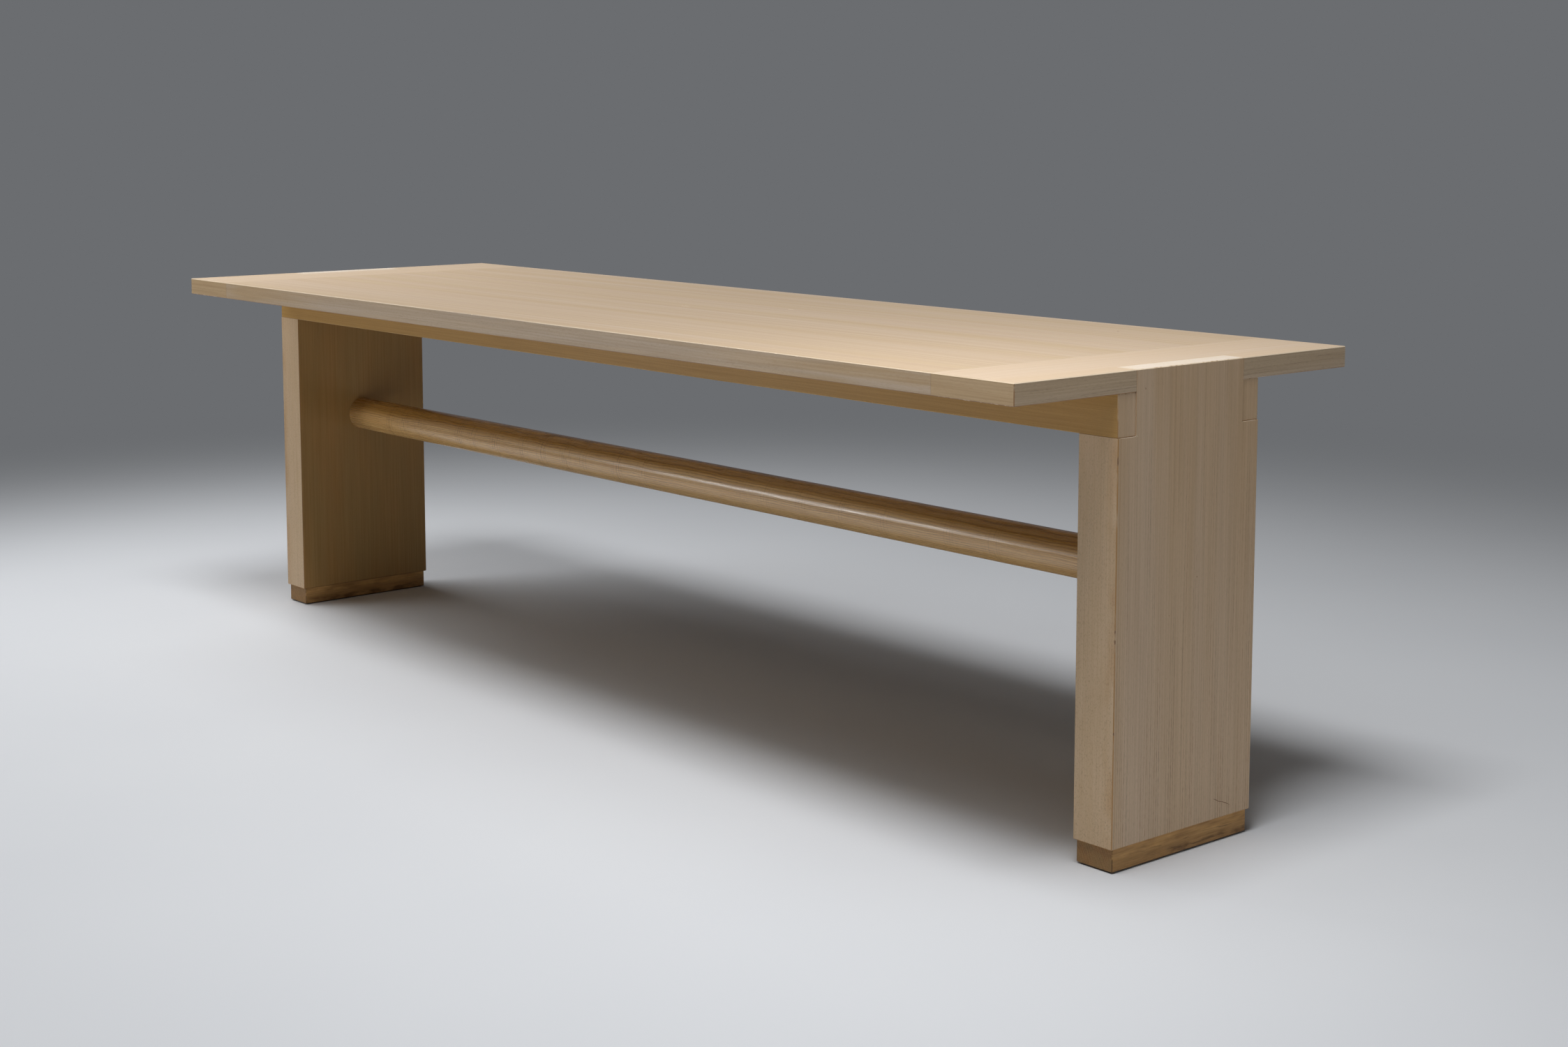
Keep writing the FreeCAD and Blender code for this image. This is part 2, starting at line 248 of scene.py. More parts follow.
# The long edges are thin strips of the same ash: short flecks, a little greyer, warm at both ends
ashEdge = woodFinish("bleachedAshEdge", {
    **bleachedAsh,
    "turn": 90, "spacing": 5, "lines": 0.22, "loosePores": 0.3, "drift": 3,
    "layers": {
        **ashLayers, "loose": (0.9, 7, 1.0), "drift": (25, 160, 1.0), "bands": (16, 400, 2.0),
    },
    "pale": "#c8b59d", "deep": "#baa68d", "cool": "#f6f5f8", "warm": "#f8f2ea",
    "tint": ("X", 500, 1070, "#f6edd8", 0.9),
})
# Front of the cleat: a strip with the same fleck, browner
ashCleatFront = woodFinish("bleachedAshCleatFront", {
    **bleachedAsh,
    "turn": 90, "spacing": 5, "lines": 0.22, "loosePores": 0.3, "drift": 3,
    "layers": {**ashLayers, "loose": (0.9, 9, 1.0), "drift": (25, 160, 1.0)},
    "pale": "#c3aa87", "deep": "#b39976",
})
# Cleat, seen from above: grain runs across the table, and it stays a little creamier
ashCleat = woodFinish("bleachedAshCleat", {
    **bleachedAsh,
    "grain": "Y", "lines": 0.06, "loosePores": 0.04,
    "layers": {**ashLayers, "fibre": (9, 400, 2.0)},
    "pale": "#ddc9b2", "deep": "#d7c2aa",
})
# End of the cleat: flat-cut figure, a few long wavy dark lines
ashCleatEnd = woodFinish("bleachedAshCleatEnd", {
    **bleachedAsh,
    "grain": "Y", "turn": 90, "spacing": 8, "drift": 13, "lines": 0.6, "lineWidth": 0.9,
    "poreFloor": 0.35, "loosePores": 0.2,
    "layers": {
        **ashLayers, "drift": (60, 210, 2.0), "bold": (9, 90, 1.0), "pores": (1.1, 9, 1.0),
    },
    "pale": "#c6b39b", "deep": "#b5a188", "line": "#5f4f42", "warmLine": "#7d6751",
})
# Leg face: quarter-cut ash on end, close pore lines that grow bolder towards the floor
ashLeg = woodFinish("bleachedAshLeg", {
    **bleachedAsh,
    "grain": "Z", "turn": 90, "spacing": 5.6, "lineWidth": 1.2, "lines": 0.8, "poreFloor": 0.35,
    "boldFloor": 0.15, "loosePores": 0.25, "drift": 14, "wear": 0.9,
    "layers": {
        **ashLayers,
        "bands": (55, 1500, 1.0),
        "pores": (1.1, 10, 1.0),
        "fibre": (4, 260, 3.0),
        "wear": (8, 40, 2.0),
    },
    "pale": "#d3bba1", "deep": "#c7af95", "cool": "#faf7f2", "warm": "#f9f3e7",
    "line": "#5d5146", "warmLine": "#8d6847", "arris": ("#e6d5bb", "#a67c48"),
    # The lines fade towards the top, and the face turns darker and warmer towards the top, in
    # patches: painted shade under the top
    "fade": ("Z", 60, 700, 1.0, 0.4), "tint": ("Z", 250, 720, "#efe5d3", 0.4),
})
# Narrow edge of the leg: short dashes and a fine speckle, warmer by the outer arris
ashLegEdge = woodFinish("bleachedAshLegEdge", {
    **bleachedAsh,
    "grain": "Z", "turn": 0, "spacing": 6.5, "lines": 0.6, "loosePores": 0.36, "poreFloor": 0.0,
    "wear": 0.9,
    "layers": {
        **ashLayers,
        "pores": (1.2, 4, 1.0),
        "loose": (1.5, 3, 1.0),
        "bands": (26, 90, 2.0),
        "wear": (8, 40, 2.0),
    },
    "pale": "#d5bd9f", "deep": "#cbb192", "cool": "#f9f4ec", "warm": "#f5efe3",
    "line": "#79624a", "warmLine": "#9a7751", "arris": ("#e6d5bb", "#a67c48"),
    "fade": ("Z", 60, 640, 1.0, 0.7), "tint": ("X", 1208, 1234, "#e0bd92", 0.35),
})
# Inner face of the leg: the leg's ash made darker and warmer, painted shade on the faces turned in
# under the table
ashInnerPaintedShade = woodFinish("bleachedAshInnerPaintedShade", {
    **bleachedAsh,
    "grain": "Z", "turn": 90, "spacing": 9, "lines": 0.25,
    "layers": {**ashLayers, "bands": (55, 260, 2.0)},
    "pale": "#b39563", "deep": "#a78857", "cool": "#f4eddf", "warm": "#fdedd8",
    "line": "#7a603d", "warmLine": "#8d6a40",
})
# Rail: plain ash under an oily varnish, yellow brown with a fine short fleck
ashRail = woodFinish("varnishedAshRail", {
    **bleachedAsh,
    "turn": 90, "spacing": 4.5, "lines": 0.16, "loosePores": 0.26, "wear": 0.45,
    "gloss": (0.35, 0.45),
    "layers": {**ashLayers, "loose": (0.9, 5, 1.0)},
    "pale": "#b89354", "deep": "#aa8447", "line": "#7c5c33", "warmLine": "#8f6838",
    # Pale eased edges: wear, and a painted highlight along the lower edge
    "arris": ("#d9b985", "#d0ad78"),
})
# Tenon end in the top: end grain takes the bleach hardest and stays whitish and dull
ashTenon = woodFinish("bleachedAshEndGrain", {
    **bleachedAsh,
    "grain": "Z", "turn": 60, "spacing": 3, "lines": 0.15, "gloss": (0.6, 0.7),
    "layers": {**ashLayers, "fibre": (1.6, 1.6, 2.0), "loose": (0.9, 0.9, 1.0)},
    "pale": "#e8ddd0", "deep": "#e0d4c6", "line": "#a8957f", "warmLine": "#b7a48d",
})
# Round stretcher: ash under clear gloss, honey brown with dark wavy growth lines, scored by shoes
ashRound = woodFinish("lacqueredAshRound", {
    **bleachedAsh,
    "turn": 100, "spacing": 3.9, "uneven": 0.75, "lineWidth": 1.25, "lines": 0.8, "drift": 8,
    "poreFloor": 0.6, "boldFloor": 0.45, "loosePores": 0.2, "shine": 1.0, "gloss": (0.22, 0.32),
    "layers": {
        **ashLayers,
        "drift": (30, 115, 2.0),
        "pores": (1.0, 11, 1.0),
        "fibre": (2.0, 120, 3.0),
        "bold": (11, 260, 1.0),
        "arcs": (17, 5, 1.0),
    },
    "pale": "#e5c28a", "deep": "#d0a66b", "cool": "#f3ede2", "warm": "#fff6e8",
    "line": "#5f3e1a", "warmLine": "#744d22", "arris": ("#4a2f12", "#4a2f12"),
    "tint": ("Z", 425, 442, "#d0c4a0", 1.0),  # the upper side is darker, in patches: painted shade under the top
    "scores": {
        "spots": {  # place along the bar, and strength
            -985: 1.0, -930: 1.0, -865: 0.7, -704: 1.0, -656: 1.0, -567: 1.0, -466: 0.9,
            -398: 1.0, -315: 1.0, -257: 0.7, -145: 0.9, -65: 0.6, 234: 0.3, 299: 0.4,
            397: 0.4, 500: 0.4, 605: 0.4, 763: 0.3, 864: 0.4,
        },
        "half": 1158, "reach": 25, "spacing": 8, "width": 1.2, "amount": 1.05,
    },
})
# Foot: oiled brown hardwood, long grain, darker and greyer towards the floor
brownSide = woodFinish("oiledBrownHardwood", {
    **bleachedAsh,
    "grain": "Y", "turn": 90, "spacing": 9, "lines": 0.85, "drift": 16, "lineWidth": 1.4,
    "poreFloor": 0.0, "gloss": (0.45, 0.6),
    "layers": {
        **ashLayers,
        "drift": (16, 40, 2.0),
        "pores": (5, 26, 2.0),
        "bands": (12, 45, 3.0),
        "fibre": (2.0, 60, 3.0),
    },
    "pale": "#d9b073", "deep": "#c39a62", "cool": "#c9bdaf", "warm": "#fff6e8",
    "line": "#2c2118", "warmLine": "#4a3420", "arris": ("#5b4227", "#4e3822"),
    "fade": ("Z", 10, 34, 1.0, 0.3), "tint": ("Z", 28, 6, "#83766a", 0.9),
})
# Ends of the foot: diagonal growth rings
brownEnd = woodFinish("oiledBrownEndGrain", {
    **bleachedAsh,
    "grain": "Y", "turn": 28, "spacing": 4.6, "lines": 0.6, "drift": 14, "lineWidth": 1.5,
    "poreFloor": 0.7, "boldFloor": 0.2, "gloss": (0.5, 0.65),
    "layers": {
        **ashLayers,
        "drift": (60, 60, 1.0),
        "fibre": (1.5, 1.5, 2.0),
        "loose": (0.9, 0.9, 1.0),
        "bold": (14, 14, 1.0),
        "bands": (18, 18, 1.0),
    },
    "pale": "#a6895e", "deep": "#93754a", "cool": "#efe6da", "warm": "#ffe9d6",
    "line": "#5a4028", "warmLine": "#744f2e", "arris": ("#5b4227", "#4e3822"),
})
# Beech dowels, tongues and wedges: raw, pinkish, small short flecks
beechRaw = woodFinish("rawBeech", {
    **bleachedAsh,
    "spacing": 2.5, "lines": 0.3, "gloss": (0.6, 0.75),
    "pale": "#d6b083", "deep": "#c39a6c", "line": "#8e6540", "warmLine": "#9d7249",
})
# Bare ash where the finish has chipped or scuffed off: pale and dull
ashBare = woodFinish("bareAsh", {
    **bleachedAsh,
    "pale": "#efe3d0", "deep": "#e2d3bc", "gloss": (0.7, 0.8), "wear": 0.0,
})
# Dirt held in a scratch or dent: a dull brown line
scratchDirt = woodFinish("dirtInScratch", {
    **bleachedAsh,
    "pale": "#9a7e66", "deep": "#86694f", "line": "#4a382b", "warmLine": "#5a4535",
    "gloss": (0.7, 0.8), "wear": 0.0,
})
print("wood finishes made")

felt = {"pile": 0.7, "rise": 0.3, "bump": 0.8, "mottle": 9, "light": "#2a2521", "dark": "#171412"}
# Pressed wool felt: near black as painted shade in the gap under each foot, dull, with a soft pile
fixed = {"Roughness": 0.95, "Specular IOR Level": 0.1, "Sheen Weight": 0.3}
feltPaintedShadeFinish, tree, shader = startFinish("pressedFeltPaintedShade", fixed)
place = addNode(tree, "ShaderNodeTexCoord")
feeds = {"Vector": place.outputs["Object"], "Scale": 1 / (felt["pile"] * mm)}
pile = addNode(tree, "ShaderNodeTexNoise", feeds)
feeds = {"Vector": place.outputs["Object"], "Scale": 1 / (felt["mottle"] * mm)}
mottle = addNode(tree, "ShaderNodeTexNoise", feeds)
feeds = {0: mottle, 6: linear(felt["light"]), 7: linear(felt["dark"])}
shade = addNode(tree, mix, feeds, data_type="RGBA")
feeds = {"Height": pile, "Distance": felt["rise"] * mm, "Strength": felt["bump"]}
fuzz = addNode(tree, "ShaderNodeBump", feeds)
tree.links.new(shade.outputs[2], shader.inputs["Base Color"])
tree.links.new(fuzz.outputs[0], shader.inputs["Normal"])

zinc = {"spangle": 2.5, "light": "#c3c0b6", "dark": "#a3a097", "gloss": (0.28, 0.45)}
# Zinc-plated steel: grey, faintly yellow, cloudy shine
zincFinish, tree, shader = startFinish("zincPlatedSteel", {"Metallic": 1.0})
place = addNode(tree, "ShaderNodeTexCoord")
feeds = {"Vector": place.outputs["Object"], "Scale": 1 / (zinc["spangle"] * mm)}
spangle = addNode(tree, "ShaderNodeTexNoise", feeds)
feeds = {0: spangle, 6: linear(zinc["light"]), 7: linear(zinc["dark"])}
shade = addNode(tree, mix, feeds, data_type="RGBA")
smooth, dull = zinc["gloss"]
cloudy = addNode(tree, remap, {"Value": spangle, "To Min": smooth, "To Max": dull})
tree.links.new(shade.outputs[2], shader.inputs["Base Color"])
tree.links.new(cloudy.outputs[0], shader.inputs["Roughness"])
print("felt and zinc made")

# Which edges of a board are eased: mm, degrees, mm, degrees off square, cosine to an axis
boards = {"merge": 0.01, "flat": 0.5, "shortest": 8, "slack": 2, "straight": 0.999}


def boardFrom(node, ease):
    shape = bmesh.new()  # a merged copy of the CAD board, with its square edges eased
    shape.from_mesh(nodes[node].data)
    bmesh.ops.remove_doubles(shape, verts=shape.verts, dist=boards["merge"] * mm)
    flat = math.radians(boards["flat"])
    bmesh.ops.dissolve_limit(shape, angle_limit=flat, verts=shape.verts, edges=shape.edges)
    square = []
    for edge in shape.edges:
        if len(edge.link_faces) == 2 and edge.calc_length() > boards["shortest"] * mm:
            off = abs(math.degrees(edge.calc_face_angle_signed()) - 90)
            along = [max(map(abs, face.normal)) > boards["straight"] for face in edge.link_faces]
            if off < boards["slack"] and all(along):
                square.append(edge)
    bmesh.ops.bevel(
        shape,
        geom=square,
        offset=ease * mm,
        offset_type="OFFSET",
        segments=1,
        affect="EDGES",
        clamp_overlap=True,
    )
    return shape


# How a face is read: degrees to its neighbour, then cosines to an axis and to straight up
facets = {"flat": 1, "sharp": 22, "square": 0.98, "level": 0.3}


def dress(shape, name, skin):
    mesh = bpy.data.meshes.new(name)
    finishes = list(dict.fromkeys(skin.values()))
    for finish in finishes:
        mesh.materials.append(finish)
    shape.normal_update()
    arris = []
    for face in shape.faces:
        axis = max(range(3), key=lambda i: abs(face.normal[i]))
        key = ("+" if face.normal[axis] > 0 else "-") + "xyz"[axis]
        longest = max(face.edges, key=lambda edge: edge.calc_length())
        bend = math.degrees(longest.calc_face_angle(0))
        face.smooth = facets["flat"] < bend < facets["sharp"]  # bores and bites, not boards
        finish = skin.get(key) or skin.get("xyz"[axis]) or skin["rest"]
        if face.smooth:
            finish = skin.get("rest", finish)  # inside a bore
        face.material_index = finishes.index(finish)
        eased = abs(face.normal[axis]) < facets["square"] and bend > facets["sharp"]
        wearAndHighlight = -1.0 if face.normal.z > facets["level"] else 1.0  # level edges take the pale colour: wear and a painted highlight
        arris.append(wearAndHighlight if eased else 0.0)
    shape.to_mesh(mesh)
    shape.free()
    if "custom_normal" in mesh.attributes:
        mesh.attributes.remove(mesh.attributes["custom_normal"])
    mesh.attributes.new("arris", "FLOAT", "FACE").data.foreach_set("value", arris)
    piece = bpy.data.objects.new(name, mesh)
    bpy.context.scene.collection.objects.link(piece)
    return piece


def plainMesh(piece):
    graph = bpy.context.evaluated_depsgraph_get()
    return bpy.data.meshes.new_from_object(piece.evaluated_get(graph), depsgraph=graph)


def carve(piece, cutterShape, finish):
    cutter = dress(cutterShape, "cutter", {"rest": finish})
    cut = piece.modifiers.new("carve", "BOOLEAN")
    cut.operation = "DIFFERENCE"
    cut.solver = "EXACT"
    cut.material_mode = "TRANSFER"
    cut.object = cutter
    mesh = plainMesh(piece)
    piece.modifiers.remove(cut)
    piece.data = mesh
    bpy.data.objects.remove(cutter)


def settle(piece, slot, *replaced):
    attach(piece, "root")
    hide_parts(*replaced)


lumps = {"detail": 2, "rough": 0.4, "ripple": 1.9}


def chipShape(chips):
    shape = bmesh.new()  # lumps that bite into the wood: (middle, half sizes), in mm
    for middle, half in chips:
        lump = bmesh.ops.create_icosphere(shape, subdivisions=lumps["detail"], radius=1.0)
        for vert in lump["verts"]:
            rough = 1 + lumps["rough"] * noise.noise(vert.co * lumps["ripple"] + Vector(middle))
            vert.co = Vector([(m + h * c * rough) * mm for m, h, c in zip(middle, half, vert.co)])
    return shape


def scratchShape(track):
    shape = bmesh.new()  # a four-sided tapering tube on an X face: (point, radius), in mm
    loops = []
    for point, radius in track:
        around = [(0, 0, radius), (radius, 0, 0), (0, 0, -radius), (-radius, 0, 0)]
        loops.append([shape.verts.new((Vector(point) + Vector(o)) * mm) for o in around])
    for near, far in zip(loops, loops[1:]):
        for i in range(4):
            shape.faces.new((near[i], near[(i + 1) % 4], far[(i + 1) % 4], far[i]))
    shape.faces.new(loops[0][::-1])
    shape.faces.new(loops[-1])
    bmesh.ops.recalc_face_normals(shape, faces=shape.faces)
    return shape


# Top: panel, lippings and cleats. Scuffs and specks give the middle and half sizes of each bite
top = {
    "seamEase": 0.35,
    "lippingEase": 0.12,
    "scuffs": [((-1, 24, 740.15), (13, 1.7, 0.5)), ((183, 127, 740.15), (10, 1.4, 0.5))],
    "specks": [((847, 277, 740.1), (2.4, 2.0, 0.6))],
}
panel = dress(boardFrom("top_panel", top["lippingEase"]), "topPanel", {"rest": ashTop})
carve(panel, chipShape(top["scuffs"]), ashBare)
carve(panel, chipShape(top["specks"]), scratchDirt)
settle(panel, "bleached_ash_top", "top_panel")

edgeChips = {  # places along each long arris and the reach of each bite
    "off": 0.8,
    "bite": 2.3,
    "front": [
        (437, 9), (468, 5), (512, 12), (548, 6), (604, 16), (642, 7), (668, 10), (705, 5), (733, 13),
        (778, 8), (-118, 4), (96, 5), (243, 6), (1003, 3), (-604, 4),
    ],
    "rear": [(-520, 8), (-96, 5), (310, 11), (742, 6)],
}
for name, across in longSides.items():
    node = "top_" + name + "_lipping"
    low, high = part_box(node)
    shape = boardFrom(node, top["lippingEase"])
    strip = dress(shape, "top" + name.title() + "Lipping", {"y": ashEdge, "rest": ashTop})
    off, bite = edgeChips["off"], edgeChips["bite"]
    outer = (low.y if across < 0 else high.y) / mm
    chips = [
        ((x, outer + across * off, high.z / mm + off), (reach, bite, bite))
        for x, reach in edgeChips[name]
    ]
    carve(strip, chipShape(chips), ashBare)
    settle(strip, "bleached_ash_top", node)

cornerChips = {  # down the front upright corner, and the reach of each bite
    "off": 0.7,
    "bite": 1.9,
    "drops": [(0, 3), (-14, 5), (-20, 2)],
}
for name, side in legSides.items():
    node = name + "_end_cleat"
    low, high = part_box(node)
    shape = boardFrom(node, top["seamEase"])
    cleat = dress(shape, name + "EndCleat", {"z": ashCleat, "x": ashCleatEnd, "y": ashCleatFront})
    off, bite = cornerChips["off"], cornerChips["bite"]
    end = (high.x if side > 0 else low.x) / mm
    chips = [
        ((end + side * off, low.y / mm - off, high.z / mm + drop), (bite, bite, reach))
        for drop, reach in cornerChips["drops"]
    ]
    carve(cleat, chipShape(chips), ashBare)
    settle(cleat, "bleached_ash_cleat", node)
print("top made")

# Rails, with the counterbores for their screws
rails = {"ease": 0.3}
for name in longSides:
    shape = boardFrom(name + "_rail", rails["ease"])
    rail = dress(shape, name + "Rail", {"x": ashLeg, "rest": ashRail})
    settle(rail, "ash_rail", name + "_rail")
print("rails made")

# Legs: two boards and two lippings each. Places are in mm from the table's middle
legs = {"ease": 0.25, "lippingEase": 0.15}
legMarks = {
    "scratch": [  # points on the right leg's outer face, and half width
        ((1234, 72, 69), 0.2), ((1234, 78, 66.5), 0.62), ((1234, 84, 63), 0.4),
        ((1234, 92, 61), 0.5), ((1234, 101, 57.5), 0.6), ((1234, 110, 53), 0.2),
    ],
    "knots": [  # middle and half sizes
        ((1234.1, -101, 711), (0.5, 0.8, 1.6)),
        ((1234.1, 22, 419), (0.4, 0.9, 1.1)),
        ((1234.1, -40, 369), (0.4, 0.7, 0.8)),
    ],
    "shoulderChip": {"out": 1234.3, "behind": 1.5, "up": 643.6, "half": (1.6, 2.6, 1.4)},
    "nickAt": (1233.7, -158.2),
    "nickBite": 1.2,
    "nicks": {  # height on the outer front arris, and half length
        "left": [(529, 5)],
        "right": [(610, 7), (362, 3), (347, 4), (211, 3)],
    },
}
for name, side in legSides.items():
    outward, inward = ("+x", "-x") if side > 0 else ("-x", "+x")
    shape = boardFrom(name + "_leg_outer_board", legs["ease"])
    outerBoard = dress(shape, name + "LegOuterBoard", {"+z": ashTenon, "rest": ashLeg})
    if side > 0:
        carve(outerBoard, scratchShape(legMarks["scratch"]), scratchDirt)
        carve(outerBoard, chipShape(legMarks["knots"]), scratchDirt)
        chip = legMarks["shoulderChip"]
        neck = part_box("front_rail")[1].y / mm
        middle = (chip["out"], neck + chip["behind"], chip["up"])
        carve(outerBoard, chipShape([(middle, chip["half"])]), ashBare)
    settle(outerBoard, "bleached_ash_leg", name + "_leg_outer_board")
    shape = boardFrom(name + "_leg_inner_board", legs["ease"])
    # the inner board takes the darker ash, painted shade
    innerBoard = dress(shape, name + "LegInnerBoard", {"rest": ashInnerPaintedShade})
    settle(innerBoard, "bleached_ash_leg", name + "_leg_inner_board")
    for edgeName, across in longSides.items():
        node = name + "_leg_" + edgeName + "_lipping"
        shape = boardFrom(node, legs["lippingEase"])
        # faces turned inwards take the darker ash, painted shade
        skin = {outward: ashLeg, inward: ashInnerPaintedShade, "y": ashLegEdge, "z": ashLegEdge}
        strip = dress(shape, name + "Leg" + edgeName.title() + "Lipping", skin)
        if across < 0:
            out, front = legMarks["nickAt"]
            bite = legMarks["nickBite"]
            marks = legMarks["nicks"][name]
            nicks = [((side * out, front, up), (bite, bite, half)) for up, half in marks]
            carve(strip, chipShape(nicks), scratchDirt)
        settle(strip, "bleached_ash_leg", node)
print("legs made")

# Feet and felt pads
feet = {"ease": 0.6}
pads = {"ease": 0.7, "waver": 0.25, "ripple": 60, "cuts": 24, "cutOver": 20}
for name, side in legSides.items():
    shape = boardFrom(name + "_foot", feet["ease"])
    foot = dress(shape, name + "Foot", {"y": brownEnd, "rest": brownSide})
    settle(foot, "brown_hardwood", name + "_foot")
    low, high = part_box(name + "_foot_pad")
    shape = bmesh.new()
    bmesh.ops.create_cube(shape, size=1.0)
    for vert in shape.verts:
        vert.co = (low + high) / 2 + Vector([c * s for c, s in zip(vert.co, high - low)])
    ease = pads["ease"] * mm
    bmesh.ops.bevel(shape, geom=shape.edges[:], offset=ease, segments=2, profile=0.5, affect="EDGES")
    long = [edge for edge in shape.edges if edge.calc_length() > pads["cutOver"] * mm]
    bmesh.ops.subdivide_edges(shape, edges=long, cuts=pads["cuts"], use_grid_fill=True)
    for vert in shape.verts:  # felt edges are never quite straight, and stay inside the pad's box
        pull = pads["waver"] * mm * (0.5 + 0.5 * noise.noise(vert.co * pads["ripple"]))
        vert.co.x -= math.copysign(pull, vert.co.x - (low.x + high.x) / 2)
        vert.co.y -= math.copysign(pull, vert.co.y)
    # the pad takes the near-black felt, painted shade under the foot
    pad = dress(shape, name + "FootPad", {"rest": feltPaintedShadeFinish})
    settle(pad, "felt", name + "_foot_pad")
print("feet made")


def runTree(name, tree, inputs):
    piece = bpy.data.objects.new(name, bpy.data.meshes.new(name))
    bpy.context.scene.collection.objects.link(piece)
    modifier = piece.modifiers.new("rule", "NODES")
    modifier.node_group = tree
    for item in tree.interface.items_tree:
        if item.item_type == "SOCKET" and item.in_out == "INPUT":
            modifier[item.identifier] = inputs[item.name]
    mesh = plainMesh(piece)
    piece.modifiers.remove(modifier)
    piece.data = mesh
    mesh.name = name
    return piece


# Round stretcher from a rule: a grid rolled round the axis, stepped down to a tenon at each end.
# The first stations from each end close the tenon's tip, ease it, and rise to the full radius.
stretcher = {
    "sides": 64, "stations": 260, "endStations": 5, "unevenness": 0.35, "unevenRun": 150,
    "tenonRadius": 22.5, "tenonEase": 2.0, "tenonReach": 50, "sharp": 35,
}
low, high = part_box("stretcher")
tree = bpy.data.node_groups.new("stretcherRule", "GeometryNodeTree")
tree.interface.new_socket("Stretcher", in_out="OUTPUT", socket_type="NodeSocketGeometry")
sizes = {
    "Tenon End": high.x,
    "Tenon Reach": stretcher["tenonReach"] * mm,
    "Tenon Ease": stretcher["tenonEase"] * mm,
    "Tenon Radius": stretcher["tenonRadius"] * mm,
    "Radius": (high.z - low.z) / 2,
    "Axis Height": (high.z + low.z) / 2,
    "Unevenness": stretcher["unevenness"] * mm,
    "Uneven Run": stretcher["unevenRun"] * mm,
}
for key in sizes:
    tree.interface.new_socket(key, in_out="INPUT", socket_type="NodeSocketFloat")
for key in ("Stations", "Sides"):
    tree.interface.new_socket(key, in_out="INPUT", socket_type="NodeSocketInt")
    sizes[key] = stretcher[key.lower()]
tree.interface.new_socket("Finish", in_out="INPUT", socket_type="NodeSocketMaterial")
given = addNode(tree, "NodeGroupInput").outputs
feeds = {"Size X": 1.0, "Size Y": 1.0, "Vertices X": given["Stations"], "Vertices Y": given["Sides"]}
grid = addNode(tree, "GeometryNodeMeshGrid", feeds)
where = addNode(tree, "GeometryNodeInputPosition")
part = addNode(tree, "ShaderNodeSeparateXYZ", {0: where})
lastStation = addNode(tree, calc, {0: given["Stations"], 1: 1.0}, operation="SUBTRACT")
fromEnd = addNode(tree, calc, {0: part.outputs["X"], 1: 0.5}, operation="ADD")
station = addNode(tree, calc, {0: fromEnd, 1: lastStation}, operation="MULTIPLY")
station = addNode(tree, calc, {0: station}, operation="ROUND")
back = addNode(tree, calc, {0: lastStation, 1: station}, operation="SUBTRACT")
nearest = addNode(tree, calc, {0: station, 1: back}, operation="MINIMUM")
firstMiddle = stretcher["endStations"]
step = addNode(tree, calc, {0: nearest, 1: firstMiddle}, operation="MINIMUM")
feeds = {0: given["Tenon End"], 1: given["Tenon Reach"]}
shoulder = addNode(tree, calc, feeds, operation="SUBTRACT")
feeds = {0: given["Tenon End"], 1: given["Tenon Ease"]}
easeStart = addNode(tree, calc, feeds, operation="SUBTRACT")
feeds = {0: given["Tenon Radius"], 1: given["Tenon Ease"]}
tipRadius = addNode(tree, calc, feeds, operation="SUBTRACT")
lastMiddle = addNode(tree, calc, {0: lastStation, 1: firstMiddle - 1}, operation="SUBTRACT")
feeds = {"Value": station, "From Min": firstMiddle - 1, "From Max": lastMiddle, "To Min": -1.0}
middle = addNode(tree, remap, feeds)
middleX = addNode(tree, calc, {0: middle, 1: shoulder}, operation="MULTIPLY")
handed = addNode(tree, calc, {0: part.outputs["X"]}, operation="SIGN")
endX = addNode(tree, "GeometryNodeIndexSwitch", data_type="FLOAT")
tall = addNode(tree, "GeometryNodeIndexSwitch", data_type="FLOAT")
for made in (endX, tall):
    for extra in range(4):  # two items to begin with, six in all
        made.index_switch_items.new()
    tree.links.new(step.outputs[0], made.inputs["Index"])
end, tenon, full = given["Tenon End"], given["Tenon Radius"], given["Radius"]
neckStart, bodyStart = easeStart.outputs[0], shoulder.outputs[0]
for i, socket in enumerate([end, end, neckStart, bodyStart, bodyStart]):
    tree.links.new(socket, endX.inputs[i + 1])
for i, socket in enumerate([None, tipRadius.outputs[0], tenon, tenon, full, full]):
    if socket:
        tree.links.new(socket, tall.inputs[i + 1])
endPlace = addNode(tree, calc, {0: endX, 1: handed}, operation="MULTIPLY")
isMiddle = addNode(tree, calc, {0: step, 1: firstMiddle - 0.5}, operation="GREATER_THAN")
x = addNode(tree, mix, {0: isMiddle, 2: endPlace, 3: middleX})
around = addNode(tree, calc, {0: part.outputs["Y"], 1: 2 * math.pi}, operation="MULTIPLY")
lift = addNode(tree, calc, {0: around}, operation="SINE")
sway = addNode(tree, calc, {0: around}, operation="COSINE")
run = addNode(tree, calc, {0: x, 1: given["Uneven Run"]}, operation="DIVIDE")
spot = addNode(tree, "ShaderNodeCombineXYZ", {0: run, 1: sway, 2: lift})
shaved = addNode(tree, "ShaderNodeTexNoise", {"Vector": spot, "Scale": 1.0, "Detail": 1.0})
shaving = addNode(tree, calc, {0: shaved, 1: given["Unevenness"]}, operation="MULTIPLY")
shaving = addNode(tree, calc, {0: shaving, 1: isMiddle}, operation="MULTIPLY")
reach = addNode(tree, calc, {0: tall, 1: shaving}, operation="SUBTRACT")
y = addNode(tree, calc, {0: reach, 1: sway}, operation="MULTIPLY")
z = addNode(tree, calc, {0: reach, 1: lift, 2: given["Axis Height"]}, operation="MULTIPLY_ADD")
rolled = addNode(tree, "ShaderNodeCombineXYZ", {0: x, 1: y, 2: z})
placed = addNode(tree, "GeometryNodeSetPosition", {"Geometry": grid, "Position": rolled})
